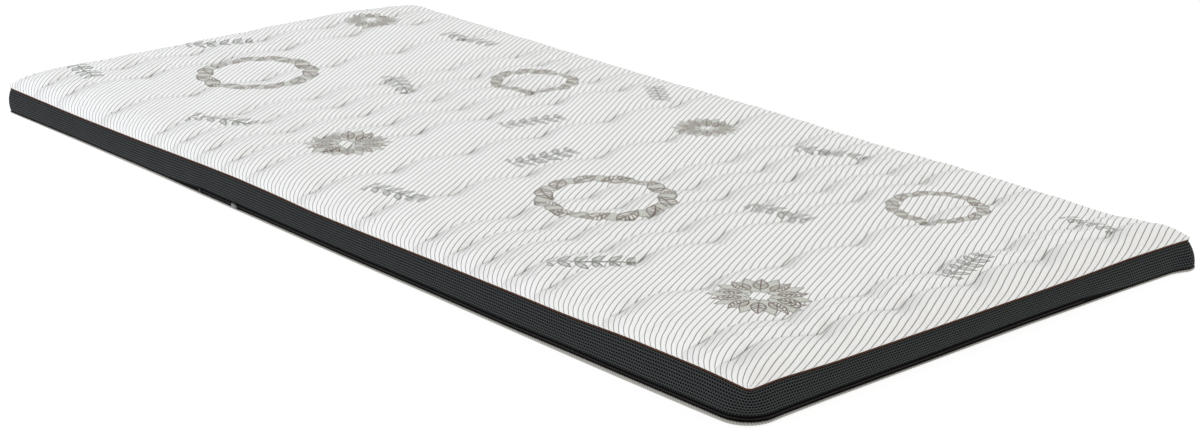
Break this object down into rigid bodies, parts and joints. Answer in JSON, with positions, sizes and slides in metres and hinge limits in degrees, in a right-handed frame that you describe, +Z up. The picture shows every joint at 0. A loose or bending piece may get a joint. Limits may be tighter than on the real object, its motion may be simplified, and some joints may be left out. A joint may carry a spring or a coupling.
{
  "type": "mattress topper",
  "caption": "Quilted single mattress topper with a crowned striped knit top, dark spacer-mesh border, brown seam cords, a coil zip and a flat base panel.",
  "frame": {"origin": "centre of the flat underside of the base panel, on the surface that the topper rests on, under the centre of the rectangle of its top seam", "axes": "X runs along the length, to the right-hand end with the zip; Y runs across the width, from the front with the zip slider to the back; Z is up out of the sleeping side"},
  "size_m": [1.9036, 0.9229, 0.0808],
  "materials": {
    "striped_knit": "matt knit",
    "spacer_mesh": "matt spacer mesh",
    "brown_cord": "matt",
    "base_ticking": "matt",
    "zip_tape": "matt",
    "zip_coil": "satin",
    "zip_metal": "satin"
  },
  "bodies": {
    "root": {"quilted_panel": "striped_knit", "border": "spacer_mesh", "top_cord": "brown_cord", "base_cord": "brown_cord", "base_panel": "base_ticking", "zip_tape": "zip_tape", "zip_coil": "zip_coil", "zip_slider": "zip_metal", "zip_pull": "zip_metal", "zip_end_stop": "zip_metal"}
  },
  "joints": []
}
